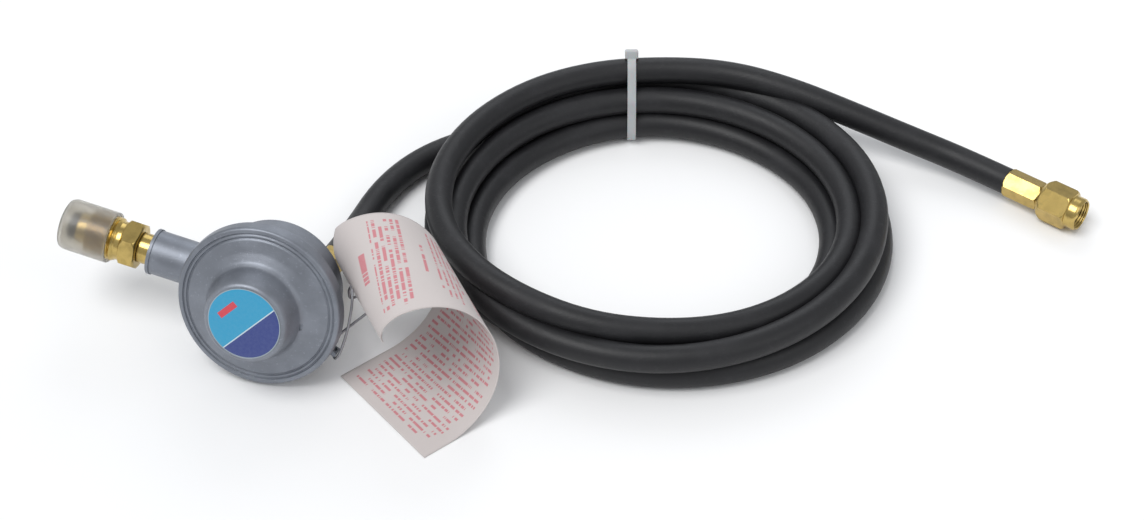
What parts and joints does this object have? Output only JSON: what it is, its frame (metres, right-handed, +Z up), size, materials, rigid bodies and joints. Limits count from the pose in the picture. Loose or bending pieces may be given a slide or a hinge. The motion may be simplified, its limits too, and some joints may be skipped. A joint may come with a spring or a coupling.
{
  "type": "gas pressure regulator with hose",
  "caption": "Low-pressure gas regulator: die-cast disc body with a capped inlet, a coiled rubber hose tied with a strap, a brass swivel nut and a curled paper tag.",
  "frame": {"origin": "on the table, under the middle of the regulator, its inlet and its tag (the hose is left out)", "axes": "+X along the set from the inlet cap to the far nut, +Y away from the front, where the disc's label looks, +Z up"},
  "size_m": [0.5259, 0.2665, 0.0817],
  "materials": {
    "zinc": "die-cast zinc alloy, tumbled, unpainted, matte",
    "label_film": null,
    "dark_plastic": "moulded",
    "screen_mesh": "fine mesh",
    "brass": "turned, bright",
    "seal_rubber": "moulded",
    "steel": "zinc plated",
    "clear_plastic": "translucent polyethylene, frosted",
    "hose_rubber": "extruded, matte, faint bloom",
    "nylon": "natural nylon, satin",
    "tag_paper": null
  },
  "bodies": {
    "regulator": {"casing": "zinc", "bonnet": "zinc", "label": "label_film", "adjusting_plug": "dark_plastic", "vent_screen": "screen_mesh", "orifice": "brass", "lever_pin": "steel", "diaphragm": "seal_rubber", "main_spring": "steel", "inlet_nipple": "brass", "nose_seal": "seal_rubber", "outlet_barb": "brass", "outlet_ferrule": "brass", "hose_lead": "hose_rubber", "hose_coil": "hose_rubber", "hose_tail": "hose_rubber", "cable_tie": "nylon", "tail_ferrule": "brass", "tail_stem": "brass", "tag_wire": "steel"},
    "diaphragm_stack": {"diaphragm_plate": "steel", "diaphragm_stem": "steel", "relief_spring": "steel", "relief_nut": "steel"},
    "valve_lever": {"lever": "steel"},
    "valve": {"valve_carrier": "steel", "valve_pad": "seal_rubber"},
    "inlet_nut_body": {"inlet_nut": "brass"},
    "cap": {"dust_cap": "clear_plastic"},
    "far_nut": {"swivel_nut": "brass"},
    "tag": {"paper_tag": "tag_paper"}
  },
  "joints": [
    {"name": "inlet_nut_spin", "type": "hinge", "parent": "regulator", "child": "inlet_nut_body", "pos_m": [-0.00261, 0.01947, 0.03588], "axis": [-0.943, 0.3095, 0.1221], "continuous": true},
    {"name": "cap_pull", "type": "slide", "parent": "inlet_nut_body", "child": "cap", "axis": [-0.943, 0.3095, 0.1221], "range_m": [0, 0.03]},
    {"name": "far_nut_spin", "type": "hinge", "parent": "regulator", "child": "far_nut", "pos_m": [0.39098, 0.1145, 0.0106], "axis": [0.8039, -0.5948, 0], "continuous": true},
    {"name": "diaphragm_slide", "type": "slide", "parent": "regulator", "child": "diaphragm_stack", "axis": [-0.2581, -0.912, 0.319], "range_m": [0, 0.002], "stiffness_N_per_m": 1200, "deforming": ["main_spring", "diaphragm"]},
    {"name": "lever_tilt", "type": "hinge", "parent": "regulator", "child": "valve_lever", "pos_m": [-0.01534, 0.02913, 0.03596], "axis": [-0.2101, -0.2693, -0.9399], "range_deg": [-0.2, 8]},
    {"name": "valve_slide", "type": "slide", "parent": "regulator", "child": "valve", "axis": [-0.943, 0.3095, 0.1221], "range_m": [-0.0001, 0.0009]},
    {"name": "tag_swing", "type": "hinge", "parent": "regulator", "child": "tag", "pos_m": [0.04032, 0.00853, 0.04266], "axis": [-0.8045, -0.3616, -0.4712], "range_deg": [0, 15]}
  ],
  "couplings": [
    {"joint": "lever_tilt", "follows": "diaphragm_slide", "rad_per_m": 66.667},
    {"joint": "valve_slide", "follows": "diaphragm_slide", "ratio": 0.36667}
  ]
}
